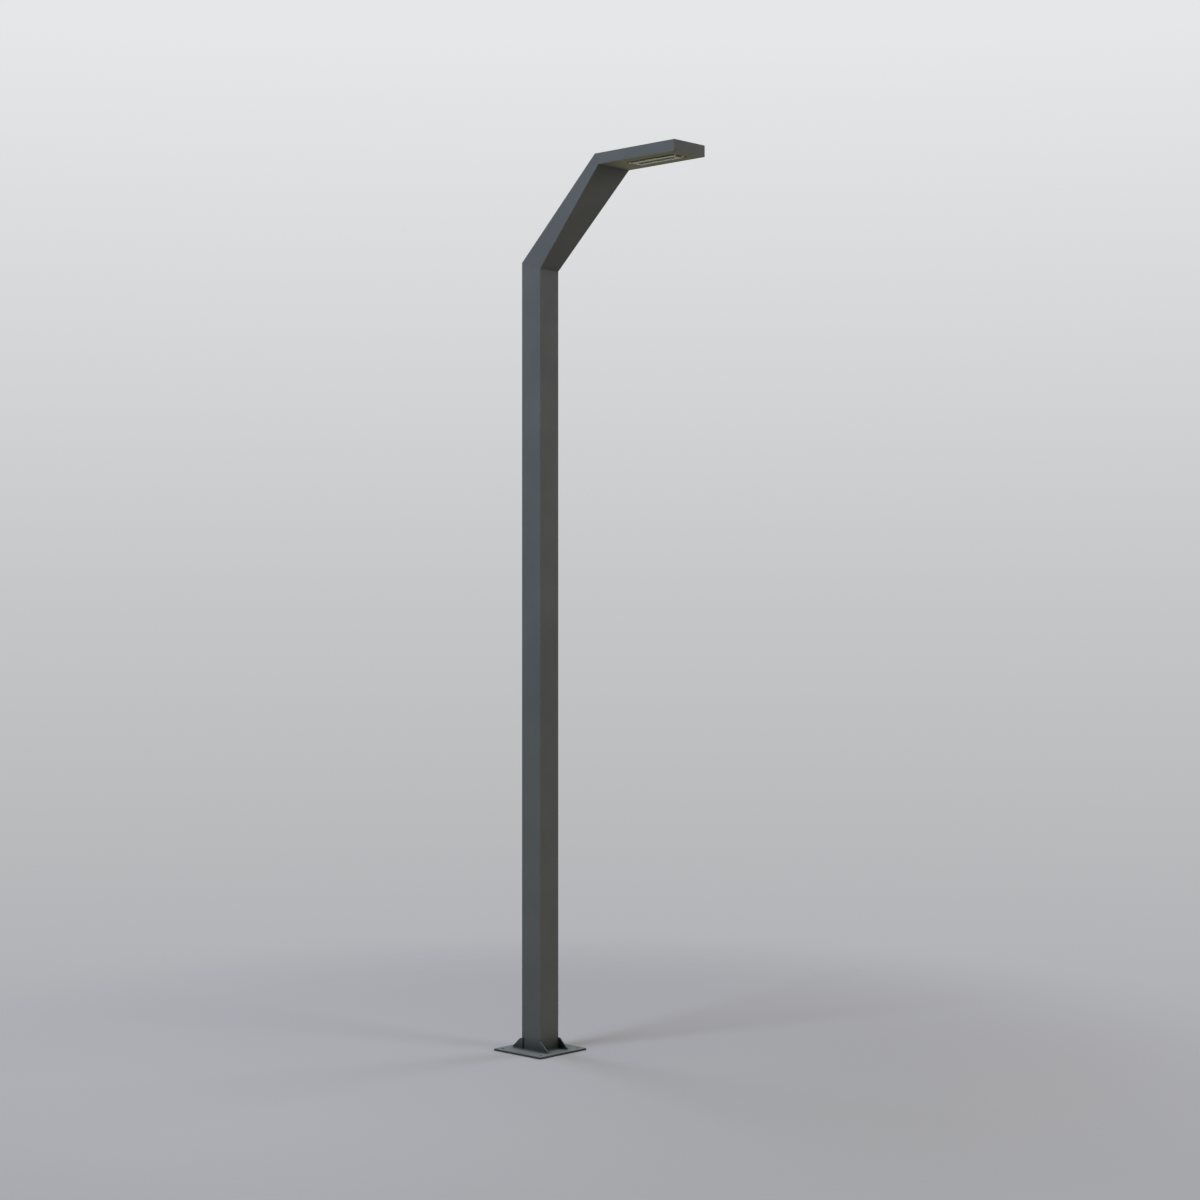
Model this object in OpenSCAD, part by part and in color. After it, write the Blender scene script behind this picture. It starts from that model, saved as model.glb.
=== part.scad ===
// Garden light pole: a square painted steel pole on a base plate, with a tapered arm that leans
// forward and a flat lamp head with an LED module in its underside.
// The origin is on the pole's axis at the underside of the base plate. +Z is up, and the arm
// points forward along +X, so left is +Y and right is -Y.

/* [Pole] */
// Outside width of the square pole
pole_w = 100; // [90:1:120]
// Wall of the pole tube
pole_wall = 3; // [2.5:0.5:4]
// Outside corner radius of the pole tube
pole_corner_r = 4; // [2:0.5:6]
// Height of the lower bend at the back of the pole
bend_back_z = 3000; // [2900:10:3400]
// How much lower the same bend is at the front of the pole
bend_drop = 32; // [20:1:45]

/* [Arm and head] */
// Height of the head's top above the back of the lower bend
head_rise = 357; // [352:1:362]
// Distance from the pole's axis to the tip of the head
head_reach = 754; // [740:1:800]
// Width of the head
head_w = 168; // [164:1:200]
// Height of the head
head_h = 42; // [40:1:44]
// Thickness of the arm's and head's sheet
sheet = 3; // [2:0.5:3]
// Distance from the pole's axis to the upper bend, at the head's top
bend_top_x = 364; // [358:1:368]
// How much further out the same bend is at the head's underside
bend_under = 20; // [15:1:26]

/* [Base] */
// Width of the square base plate
base_w = 250; // [230:1:320]
// Thickness of the base plate
base_t = 8; // [6:1:12]
// Spacing of the four anchor holes
anchor_spacing = 200; // [190:1:210]
// Diameter of the anchor holes
anchor_d = 12; // [10:1:16]
// Diameter of the cable entry in the base plate
entry_d = 80; // [60:1:84]
// Height of the gussets
gusset_h = 40; // [30:1:80]
// How far the gussets reach out from the pole
gusset_reach = 43; // [30:1:44]
// Thickness of the gussets
gusset_t = 5; // [4:1:8]
// How far the gussets lap onto the pole's side faces
gusset_lap = 10; // [8:1:20]

/* [Lamp module] */
// Distance from the pole's axis to the middle of the lamp module
lamp_x = 594; // [590:1:598]
// Length of the cut-out in the underside
cutout_l = 232; // [230:1:236]
// Width of the cut-out in the underside
cutout_w = 78; // [76:1:80]
// Gap between the cut-out and the module plate, filled by the seal
seal_gap = 3; // [2:0.5:4]
// Length of the raised frame
frame_l = 202; // [200:1:204]
// Width of the raised frame
frame_w = 58; // [56:1:60]
// How far the frame stands out below the underside
frame_t = 3.5; // [3:0.5:5]
// Length of the window in the frame
window_l = 169; // [160:1:170]
// Width of the window in the frame
window_w = 24; // [20:1:25]

/* [Service door] */
// Height of the middle of the service door
door_z = 620; // [600:10:900]
// Width of the door opening
door_open_w = 66; // [60:1:70]
// Height of the door opening
door_open_h = 240; // [220:1:260]
// Gap around the door
door_gap = 2; // [1:0.5:3]

/* [Hidden] */
$fn = 48;

half_pole = pole_w / 2;
pole_inside = pole_w - 2 * pole_wall;
bend_front_z = bend_back_z - bend_drop;
head_top = bend_back_z + head_rise;
head_bottom = head_top - head_h;
floor_top = head_bottom + sheet;
bend_bottom_x = bend_top_x + bend_under;

// Play left between a screw's thread and its tapped hole, on the radius
thread_play = 0.05;

// The lamp module, counted from its own middle
plate_l = cutout_l - 2 * seal_gap;
plate_w = cutout_w - 2 * seal_gap;
corner_screw_x = plate_l / 2 - 4.5;
corner_screw_y = 21;
pane_l = window_l + 14;
pane_w = window_w + 16;
pane_play = 1;
gasket_t = 4;
sink_z = floor_top + gasket_t;
sink_base = 4;
sink_top = sink_z + sink_base + 14;
board_t = 1.6;
board_l = 170;
board_w = 24;
clamp_y = frame_w / 2 - 4.5;
clamp_spots = [for (x = [-1, 0, 1], y = [-1, 1]) [x * (frame_l / 2 - 5), y * clamp_y]];
lead_hole_x = 80;

// The driver, beside the lamp module
driver_y = 65;
driver_x = [425, 565];
driver_w = 28;
driver_h = 24;
ear_l = 9;
ear_t = 3;
tray_t = 3;
boss_l = 6;
driver_axis_z = floor_top + tray_t + 14;
ear_spots = [driver_x[0] - ear_l / 2, driver_x[1] + ear_l / 2];

// The service door and the fuse box behind it
door_w = door_open_w - 2 * door_gap;
door_h = door_open_h - 2 * door_gap;
door_screw_rise = door_h / 2 - 14;
lug_t = 4;
box_front = 16;
box_back = half_pole - pole_wall - 3;
box_w = 60;
box_h = 110;
box_wall = 2.5;
box_bottom = door_z - box_h / 2;
box_top = door_z + box_h / 2;
cover_depth = 12;
gland_x = 30;
lamp_gland_y = -16;
cable_r = 3.5;
supply_r = 4.5;
lead_r = 2.5;
earth_r = 2;
stud = [-8, door_z - 75];
rail_screw_y = -10;
rail_screw_rise = 43;
fuse_y = 3;
bush_z = door_z + 28;
cover_screw_spots = [[-24.5, -49.5], [24.5, 49.5]];

// Moves the points of a route up
function raised(points, by) = [for (p = points) p + [0, 0, by]];

// The three-core cable. It starts in the terminal block and goes up past the fuse box, with its
// heights counted from the door's middle, then on up the pole, over both bends and into the
// driver, with its heights counted from the lower bend
cable_foot = [
    [30, -16, -8], [30, -16, 20], [30, -16, 55], [30, -16, 80], [30, -15, 110],
    [31, -12, 160], [33, -7, 230], [35, -2, 320], [36, 0, 420]
];
cable_top = [
    [36, 0, -1500], [36, 0, -1000], [36, 0, -500], [36, 0, -140], [36, 0, -90], [37, 1, -62],
    [40, 2, -40], [46, 4, -21], [56, 6, -3], [70, 8, 13], [95, 12, 35],
    [130, 18, 67], [170, 25, 104], [220, 34, 156], [270, 43, 209], [310, 50, 252],
    [340, 56, 285], [356, 59, 301], [370, 62, 314], [384, 64, 324], [398, 65, 331],
    [410, 65, 334], [419, 65, 335], [425, 65, 335]
];
lamp_cable_route = concat(raised(cable_foot, door_z), raised(cable_top, bend_back_z));
// The two-core lead: out of the driver, round to the heat sink and down its hole to the LED board,
// with its heights counted from the lower bend
led_lead_points = [
    [565, 65, 335], [571, 65, 335], [590, 65, 335], [610, 64, 335], [630, 59, 336],
    [646, 50, 338], [658, 38, 341], [666, 26, 343], [671, 15, 343], [673, 8, 341],
    [674, 2, 337], [674, 0, 331], [674, 0, 326], [674, 0, 322]
];
led_lead_route = raised(led_lead_points, bend_back_z);
// The earth lead: up from the stud's lug beside the fuse box, through the bush to the terminals,
// with its heights counted from the door's middle
earth_lead_points = [
    [-8, 44, -62], [-8, 44, -54], [-8, 44, -40], [-6, 43, -22], [0, 41, -6],
    [9, 40, 8], [18, 40, 18], [25, 40, 24], [29, 38, 27], [30, 34, 28],
    [30, 26, 28], [30, 22, 26], [30, 19, 20], [30, 17, 12], [30, 17, 2], [30, 17, -8]
];
earth_lead_route = raised(earth_lead_points, door_z);

// Shared shapes

// A rectangle with round corners, centred
module rounded_rect(w, h, r) {
    square([w - 2 * r, h], center = true);
    square([w, h - 2 * r], center = true);
    for (x = [-1, 1], y = [-1, 1])
        translate([x * (w / 2 - r), y * (h / 2 - r)]) circle(r);
}

// Stands a flat outline up in the XZ plane and extrudes it from one Y to another
module along_y(from, to) {
    translate([0, to, 0]) rotate([90, 0, 0]) linear_extrude(to - from) children();
}

// Stands a flat outline up in the YZ plane and extrudes it from one X to another
module along_x(from, to) {
    translate([from, 0, 0]) rotate([90, 0, 90]) linear_extrude(to - from) children();
}

// A screw standing on its threaded end: the head's bearing face is at the origin, the head above
module dome_screw(d, head_d, head_h, length) {
    difference() {
        union() {
            translate([0, 0, -length]) cylinder(h = length, r = d / 2 - thread_play);
            intersection() {
                cylinder(h = head_h, d = head_d);
                // A sphere that passes through the head's rim and the middle of its top
                dome_r = (pow(head_d / 2, 2) + pow(head_h, 2)) / (2 * head_h);
                translate([0, 0, head_h - dome_r]) sphere(dome_r);
            }
        }
        translate([0, 0, head_h * 0.35]) cylinder(h = head_h, d = d * 0.65, $fn = 6);
    }
}

function unit(v) = v / norm(v);

// The direction of a route at one of its points
function heading(route, i) =
    unit(route[min(i + 1, len(route) - 1)] - route[max(i - 1, 0)]);

// A cable swept along a route, where no stretch runs along the reference direction
module cable(route, r, reference, sides = 8) {
    last = len(route) - 1;
    rings = [
        for (i = [0 : last])
            let (
                ahead = heading(route, i),
                across = unit(cross(ahead, reference)),
                up = cross(across, ahead)
            )
            for (k = [0 : sides - 1])
                route[i] + r * (cos(k * 360 / sides) * across + sin(k * 360 / sides) * up)
    ];
    walls = [
        for (i = [0 : last - 1], k = [0 : sides - 1])
            let (a = i * sides + k, b = i * sides + (k + 1) % sides)
            for (face = [[a, b, b + sides], [a, b + sides, a + sides]]) face
    ];
    start_cap = [for (k = [0 : sides - 1]) sides - 1 - k];
    end_cap = [for (k = [0 : sides - 1]) last * sides + k];
    polyhedron(points = rings, faces = concat(walls, [start_cap, end_cap]));
}

// The side view of everything between the base plate and the mitre at the lower bend
module pole_side_view() {
    polygon([
        [-half_pole, base_t], [half_pole, base_t],
        [half_pole, bend_front_z], [-half_pole, bend_back_z]
    ]);
}

// The side view of the head, from the mitre at the upper bend to a given X
module head_side_view(end_x) {
    polygon([
        [bend_top_x, head_top], [bend_bottom_x, head_bottom],
        [end_x, head_bottom], [end_x, head_top]
    ]);
}

// Base and pole

module base_plate() {
    color([0.36, 0.37, 0.38])
    linear_extrude(base_t) difference() {
        rounded_rect(base_w, base_w, 3);
        circle(d = entry_d);
        for (x = [-1, 1], y = [-1, 1])
            translate([x, y] * anchor_spacing / 2) circle(d = anchor_d);
    }
}

// One gusset. front is 1 or -1 for the front or the back, left is 1 or -1 for the left or right
module gusset(front, left) {
    flat = 4;
    toe = 5;
    inner = front * (half_pole - gusset_lap);
    outer = front * (half_pole + gusset_reach);
    edge = front * (half_pole + flat);
    face = left * half_pole;
    color([0.34, 0.35, 0.36])
    along_y(min(face, face + left * gusset_t), max(face, face + left * gusset_t))
        polygon([
            [inner, base_t], [outer, base_t], [outer, base_t + toe],
            [edge, base_t + gusset_h], [inner, base_t + gusset_h]
        ]);
}

module gusset_front_right() { gusset(1, -1); }
module gusset_front_left() { gusset(1, 1); }
module gusset_rear_right() { gusset(-1, -1); }
module gusset_rear_left() { gusset(-1, 1); }

module pole_tube() {
    color([0.33, 0.34, 0.36])
    difference() {
        intersection() {
            linear_extrude(bend_back_z) difference() {
                rounded_rect(pole_w, pole_w, pole_corner_r);
                rounded_rect(pole_inside, pole_inside, max(pole_corner_r - pole_wall, 1));
            }
            along_y(-pole_w, pole_w) pole_side_view();
        }
        along_x(-half_pole - 1, -half_pole + pole_wall + 1)
            translate([0, door_z]) rounded_rect(door_open_w, door_open_h, 10);
    }
}

// Arm and head

// A tapered box between the two mitres, set in from the outside by a given amount. Each end's
// corners go round from the back right to the back left
module arm_block(inset, past) {
    low = half_pole - inset;
    wide = head_w / 2 - inset;
    low_z = function (x) bend_back_z - bend_drop * (x + half_pole) / pole_w;
    high_x = function (z) bend_top_x + bend_under * (head_top - z) / head_h;
    top = head_top - inset;
    bottom = head_bottom + inset;
    corners = [
        [-low, -low, low_z(-low)], [low, -low, low_z(low)],
        [low, low, low_z(low)], [-low, low, low_z(-low)],
        [high_x(top), -wide, top], [high_x(bottom), -wide, bottom],
        [high_x(bottom), wide, bottom], [high_x(top), wide, top]
    ];
    // The bore of the shell runs on a little past both mitres
    middle = [for (i = [0 : 3]) corners[i + 4] - corners[i]];
    stretched = [
        for (i = [0 : 3]) corners[i] - past * middle[i],
        for (i = [0 : 3]) corners[i + 4] + past * middle[i]
    ];
    polyhedron(
        points = stretched,
        faces = [
            [0, 1, 2, 3], [7, 6, 5, 4],
            [0, 4, 5], [0, 5, 1],
            [1, 5, 6, 2],
            [2, 6, 3], [3, 6, 7],
            [3, 7, 4, 0]
        ]
    );
}

module arm_shell() {
    color([0.34, 0.35, 0.37])
    difference() {
        arm_block(0, 0);
        arm_block(sheet, 0.02);
    }
}

module head_channel() {
    color([0.36, 0.37, 0.39])
    difference() {
        along_y(-head_w / 2, head_w / 2) head_side_view(head_reach - sheet);
        translate([bend_top_x - 50, -head_w / 2 + sheet, head_bottom - 1])
            cube([head_reach, head_w - 2 * sheet, head_h - sheet + 1]);
    }
}

module head_floor() {
    color([0.30, 0.30, 0.30])
    difference() {
        intersection() {
            along_y(-head_w / 2 + sheet, head_w / 2 - sheet) head_side_view(head_reach - sheet);
            translate([0, -head_w / 2, head_bottom]) cube([head_reach, head_w, sheet]);
        }
        translate([lamp_x, 0, head_bottom - 1])
            linear_extrude(sheet + 2) rounded_rect(cutout_l, cutout_w, 5);
    }
}

module end_plate() {
    color([0.33, 0.34, 0.35])
    along_x(head_reach - sheet, head_reach)
        translate([-head_w / 2, head_bottom]) square([head_w, head_h]);
}

// A strip welded over one end of the cut-out, tapped for two module screws
module lamp_rail(side) {
    near = frame_l / 2 + 2;
    far = cutout_l / 2 + 10;
    color([0.32, 0.33, 0.35])
    translate([lamp_x, 0, floor_top]) linear_extrude(3) difference() {
        translate([side * (near + far) / 2, 0])
            square([far - near, cutout_w + 18], center = true);
        for (y = [-1, 1])
            translate([side * corner_screw_x, y * corner_screw_y]) circle(d = 4);
    }
}

module rail_inner() { lamp_rail(-1); }
module rail_outer() { lamp_rail(1); }

// Lamp module

module module_plate() {
    color([0.17, 0.17, 0.17])
    translate([lamp_x, 0, head_bottom]) linear_extrude(sheet) difference() {
        rounded_rect(plate_l, plate_w, 2);
        rounded_rect(pane_l + 2 * pane_play, pane_w + 2 * pane_play, 2);
        for (x = [-1, 1], y = [-1, 1])
            translate([x * corner_screw_x, y * corner_screw_y]) circle(d = 4.4);
        for (spot = clamp_spots) translate(spot) circle(d = 3.4);
    }
}

module module_seal() {
    color([0.08, 0.08, 0.08])
    translate([lamp_x, 0, head_bottom + 1]) linear_extrude(sheet - 1) difference() {
        rounded_rect(cutout_l, cutout_w, 5);
        rounded_rect(plate_l, plate_w, 2);
    }
}

module module_screws() {
    color("gainsboro")
    for (x = [-1, 1], y = [-1, 1])
        translate([lamp_x + x * corner_screw_x, y * corner_screw_y, head_bottom])
            rotate([180, 0, 0]) dome_screw(4, 8, 2.4, 8);
}

module lens_frame() {
    bevel = 1;
    color([0.62, 0.61, 0.57])
    translate([lamp_x, 0, head_bottom - frame_t]) difference() {
        union() {
            translate([0, 0, bevel]) linear_extrude(frame_t - bevel) rounded_rect(frame_l, frame_w, 2);
            linear_extrude(bevel) rounded_rect(frame_l - 2 * bevel, frame_w - 2 * bevel, 2);
        }
        translate([0, 0, -1]) linear_extrude(frame_t + 2) rounded_rect(window_l, window_w, 1);
        for (spot = clamp_spots)
            translate([spot[0], spot[1], bevel]) cylinder(h = frame_t, d = 3);
    }
}

module lens_pane() {
    color([0.75, 0.80, 0.80, 0.5])
    translate([lamp_x, 0, head_bottom]) linear_extrude(sheet) rounded_rect(pane_l, pane_w, 1);
}

module lens_gasket() {
    color([0.85, 0.85, 0.82])
    translate([lamp_x, 0, floor_top]) linear_extrude(gasket_t) difference() {
        rounded_rect(frame_l, frame_w, 2);
        rounded_rect(board_l + 3, board_w + 3, 1);
        for (spot = clamp_spots) translate(spot) circle(d = 3.4);
    }
}

module led_board() {
    color([0.16, 0.18, 0.16])
    translate([lamp_x, 0, sink_z - board_t]) linear_extrude(board_t)
        square([board_l, board_w], center = true);
}

module led_packages() {
    package = 4;
    height = 1.2;
    pitch = 6;
    count = 26;
    color([0.90, 0.80, 0.35])
    for (i = [0 : count - 1])
        translate([lamp_x + (i - (count - 1) / 2) * pitch, 0, sink_z - board_t - height / 2])
            cube([package, package, height], center = true);
}

module heat_sink() {
    fin_t = 2;
    fin_pitch = 6;
    fins_from = -frame_l / 2 + 11;
    fins_to = 60;
    color("lightgray")
    translate([lamp_x, 0, sink_z]) {
        linear_extrude(sink_base) difference() {
            rounded_rect(frame_l, frame_w, 2);
            for (spot = clamp_spots) translate(spot) circle(d = 3.4);
            translate([lead_hole_x, 0]) circle(d = 8);
        }
        for (i = [-3 : 3])
            translate([fins_from, i * fin_pitch - fin_t / 2, sink_base])
                cube([fins_to - fins_from, fin_t, sink_top - sink_z - sink_base]);
    }
}

module clamp_screws() {
    reach = sink_z + sink_base - (head_bottom - frame_t + 1.2);
    color("gainsboro")
    for (spot = clamp_spots)
        translate([lamp_x + spot[0], spot[1], sink_z + sink_base])
            dome_screw(3, 5.5, 2, reach);
}

module lead_grommet() {
    color([0.10, 0.10, 0.10])
    translate([lamp_x + lead_hole_x, 0, sink_z]) rotate_extrude()
        polygon([[lead_r, 0], [4, 0], [4, sink_base], [6, sink_base], [6, 6], [lead_r, 6]]);
}

// Driver

module driver_tray() {
    color([0.32, 0.33, 0.35])
    translate([0, driver_y, floor_top]) linear_extrude(tray_t) difference() {
        translate([driver_x[0] - ear_l - 3, -15])
            square([driver_x[1] - driver_x[0] + 2 * (ear_l + 3), 30]);
        for (x = ear_spots) translate([x, 0]) circle(d = 4);
    }
}

// A potted driver with an ear at each end and a moulded collar for each cable
module led_driver() {
    base_z = floor_top + tray_t;
    collar_r = 6;
    color([0.88, 0.88, 0.86])
    difference() {
        union() {
            translate([driver_x[0], driver_y - driver_w / 2, base_z])
                cube([driver_x[1] - driver_x[0], driver_w, driver_h]);
            translate([driver_x[0] - ear_l, driver_y - driver_w / 2, base_z])
                cube([driver_x[1] - driver_x[0] + 2 * ear_l, driver_w, ear_t]);
            translate([driver_x[0] - boss_l, driver_y, driver_axis_z]) rotate([0, 90, 0])
                cylinder(h = driver_x[1] - driver_x[0] + 2 * boss_l, r = collar_r);
        }
        for (x = ear_spots)
            translate([x, driver_y, base_z - 1]) cylinder(h = ear_t + 2, d = 4.5);
        translate([driver_x[0] - boss_l - 1, driver_y, driver_axis_z]) rotate([0, 90, 0])
            cylinder(h = boss_l + 1, r = cable_r);
        translate([driver_x[1], driver_y, driver_axis_z]) rotate([0, 90, 0])
            cylinder(h = boss_l + 1, r = lead_r);
    }
}

module driver_screws() {
    color("gainsboro")
    for (x = ear_spots)
        translate([x, driver_y, floor_top + tray_t + ear_t]) dome_screw(4, 8, 2.4, 6);
}

// Cables

module lamp_cable() {
    color([0.12, 0.12, 0.12]) cable(lamp_cable_route, cable_r, [0, 1, 0]);
}

module led_lead() {
    color([0.85, 0.85, 0.85]) cable(led_lead_route, lead_r, [0.6, 0.8, 0.3]);
}

module earth_lead() {
    color([0.35, 0.65, 0.20]) cable(earth_lead_route, earth_r, [1, 0.2, 0]);
}

// Service door

module door_panel() {
    color([0.33, 0.34, 0.36])
    along_x(-half_pole, -half_pole + pole_wall) translate([0, door_z]) difference() {
        rounded_rect(door_w, door_h, 8);
        for (up = [-1, 1]) translate([0, up * door_screw_rise]) circle(d = 6.6);
    }
}

// A strip welded inside the tube past one end of the opening, tapped for a door screw
module door_lug(up) {
    lug_w = 28;
    past = 34;
    behind = 26;
    inner = -half_pole + pole_wall;
    from = door_z + up * (door_open_h / 2 + past);
    to = door_z + up * (door_open_h / 2 - behind);
    color([0.32, 0.33, 0.35])
    along_x(inner, inner + lug_t) difference() {
        translate([-lug_w / 2, min(from, to)]) square([lug_w, past + behind]);
        translate([0, door_z + up * door_screw_rise]) circle(d = 6);
    }
}

module door_lug_upper() { door_lug(1); }
module door_lug_lower() { door_lug(-1); }

module door_screws() {
    color("gainsboro")
    for (up = [-1, 1])
        translate([-half_pole, 0, door_z + up * door_screw_rise])
            rotate([0, -90, 0]) dome_screw(6, 10.5, 3, 9);
}

// Fuse box

module fuse_rail() {
    color([0.32, 0.33, 0.35])
    along_x(box_back, box_back + 3) difference() {
        translate([-15, door_z - 90]) square([30, 180]);
        for (up = [-1, 1])
            translate([rail_screw_y, door_z + up * rail_screw_rise]) circle(d = 4);
    }
}

module fuse_box_base() {
    color([0.55, 0.56, 0.57])
    difference() {
        union() {
            difference() {
                along_x(box_front, box_back)
                    translate([0, door_z]) rounded_rect(box_w, box_h, 3);
                along_x(box_front - 1, box_back - box_wall) translate([0, door_z])
                    rounded_rect(box_w - 2 * box_wall, box_h - 2 * box_wall, 1);
            }
            for (spot = cover_screw_spots)
                along_x(box_front, box_back - 1) translate([spot[0], door_z + spot[1]])
                    rounded_rect(8, 8, 1);
        }
        for (spot = cover_screw_spots)
            along_x(box_front - 1, box_front + 8)
                translate([spot[0], door_z + spot[1]]) circle(d = 4);
        along_x(box_back - box_wall - 1, box_back + 1)
            for (up = [-1, 1])
                translate([rail_screw_y, door_z + up * rail_screw_rise]) circle(d = 4.4);
        translate([gland_x, lamp_gland_y, box_top - box_wall - 1])
            cylinder(h = box_wall + 2, r = 6.1);
        translate([gland_x, 0, box_bottom - 1]) cylinder(h = box_wall + 2, r = 6.1);
        translate([gland_x, box_w / 2 + 1, bush_z]) rotate([90, 0, 0])
            cylinder(h = box_wall + 2, r = 4);
    }
}

module fuse_box_cover() {
    color([0.62, 0.63, 0.64])
    difference() {
        along_x(box_front - cover_depth, box_front)
            translate([0, door_z]) rounded_rect(box_w, box_h, 3);
        along_x(box_front - cover_depth + box_wall, box_front + 1) translate([0, door_z])
            rounded_rect(box_w - 2 * box_wall, box_h - 2 * box_wall, 1);
        for (spot = cover_screw_spots)
            along_x(box_front - cover_depth - 1, box_front)
                translate([spot[0], door_z + spot[1]]) circle(d = 4.4);
    }
}

module fuse_box_screws() {
    color("gainsboro")
    for (spot = cover_screw_spots)
        translate([box_front - cover_depth, spot[0], door_z + spot[1]])
            rotate([0, -90, 0]) dome_screw(4, 7, 2.2, cover_depth + 7);
}

module rail_screws() {
    color("gainsboro")
    for (up = [-1, 1])
        translate([box_back - box_wall, rail_screw_y, door_z + up * rail_screw_rise])
            rotate([0, -90, 0]) dome_screw(4, 8, 2.4, box_wall + 3);
}

module terminal_block() {
    depth = 16;
    back = box_back - box_wall;
    color([0.80, 0.80, 0.76])
    difference() {
        translate([back - depth, -22, door_z - 30]) cube([depth, 44, 22]);
        for (y = [-16, -5.5, 5.5, 16]) {
            translate([back - depth - 1, y, door_z - 14]) rotate([0, 90, 0])
                cylinder(h = 6, d = 5);
            translate([back - depth - 1, y, door_z - 24]) rotate([0, 90, 0])
                cylinder(h = 6, d = 5);
        }
    }
}

// A block with two jaws that holds the fuse between them
module fuse_carrier() {
    back = box_back - box_wall;
    color([0.20, 0.20, 0.20]) {
        translate([back - 4, fuse_y - 8, door_z + 1]) cube([4, 16, 46]);
        for (z = [door_z + 1, door_z + 43])
            translate([back - 15, fuse_y - 8, z]) cube([12, 16, 4]);
    }
}

module fuse_link() {
    color([0.92, 0.90, 0.84])
    translate([box_back - box_wall - 9.5, fuse_y, door_z + 5]) cylinder(h = 38, r = 5.15);
}

// A gland that clamps a cable of a given radius: spigot below the origin, clamping nut above
module gland(bore_r) {
    color([0.25, 0.25, 0.26])
    difference() {
        union() {
            translate([0, 0, -11]) cylinder(h = 20, r = 6);
            rotate([0, 0, 30]) cylinder(h = 5, r = 9.8, $fn = 6);
            translate([0, 0, 4]) cylinder(h = 12, r = 7.8);
        }
        translate([0, 0, -12]) cylinder(h = 30, r = bore_r);
    }
}

module lamp_gland() {
    translate([gland_x, lamp_gland_y, box_top]) gland(cable_r);
}

module supply_gland() {
    translate([gland_x, 0, box_bottom]) rotate([180, 0, 0]) gland(supply_r);
}

module gland_nuts() {
    nut_h = 4;
    spots = [
        [gland_x, lamp_gland_y, box_top - box_wall - nut_h],
        [gland_x, 0, box_bottom + box_wall]
    ];
    color([0.25, 0.25, 0.26])
    for (spot = spots)
        translate(spot) difference() {
            rotate([0, 0, 30]) cylinder(h = nut_h, r = 9.8, $fn = 6);
            translate([0, 0, -1]) cylinder(h = nut_h + 2, r = 6.05);
        }
}

// Earth bond

// Stands a shape on the tube's left inner wall at the stud, growing towards the middle
module on_stud(gap) {
    translate([stud[0], half_pole - pole_wall - gap, stud[1]]) rotate([90, 0, 0]) children();
}

module earth_stud() {
    color("silver") on_stud(0) cylinder(h = 20, r = 3);
}

module earth_lug() {
    crimp = earth_lead_route[0] - [0, 0, 5];
    crimp_l = 11;
    color("peru") difference() {
        union() {
            on_stud(0) cylinder(h = 1.5, r = 6);
            on_stud(0) translate([-3, 0, 0]) cube([6, 10, 1.5]);
            translate(crimp) cylinder(h = crimp_l, r = 3);
        }
        on_stud(-1) cylinder(h = 4, r = 3.1);
        translate(earth_lead_route[0]) cylinder(h = crimp_l, r = earth_r);
    }
}

module earth_washer() {
    color("silver") on_stud(1.5) difference() {
        cylinder(h = 1.5, r = 6);
        translate([0, 0, -1]) cylinder(h = 4, r = 3.1);
    }
}

module earth_nut() {
    color("silver") on_stud(3) difference() {
        cylinder(h = 5, r = 5.77, $fn = 6);
        translate([0, 0, -1]) cylinder(h = 7, r = 3.05);
    }
}

module earth_bush() {
    color([0.10, 0.10, 0.10])
    translate([gland_x, box_w / 2, bush_z]) rotate([90, 0, 0]) rotate_extrude()
        polygon([
            [earth_r + 0.4, -1.5], [6, -1.5], [6, 0], [4, 0], [4, box_wall], [6, box_wall],
            [6, box_wall + 1.5], [earth_r + 0.4, box_wall + 1.5]
        ]);
}

base_plate();
gusset_front_right();
gusset_front_left();
gusset_rear_right();
gusset_rear_left();
pole_tube();
arm_shell();
head_channel();
head_floor();
end_plate();
rail_inner();
rail_outer();
module_plate();
module_seal();
module_screws();
lens_frame();
lens_pane();
lens_gasket();
led_board();
led_packages();
heat_sink();
clamp_screws();
lead_grommet();
driver_tray();
led_driver();
driver_screws();
lamp_cable();
led_lead();
door_panel();
door_lug_upper();
door_lug_lower();
door_screws();
fuse_rail();
fuse_box_base();
fuse_box_cover();
fuse_box_screws();
rail_screws();
terminal_block();
fuse_carrier();
fuse_link();
lamp_gland();
supply_gland();
gland_nuts();
earth_stud();
earth_nut();
earth_washer();
earth_lug();
earth_bush();
earth_lead();
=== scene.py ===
# Garden light pole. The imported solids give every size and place. Each section below makes the
# finished form of one piece, or of a group of like pieces, in the order in which they go together.
import math

import bmesh
import bpy
from mathutils import Matrix, Vector


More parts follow.
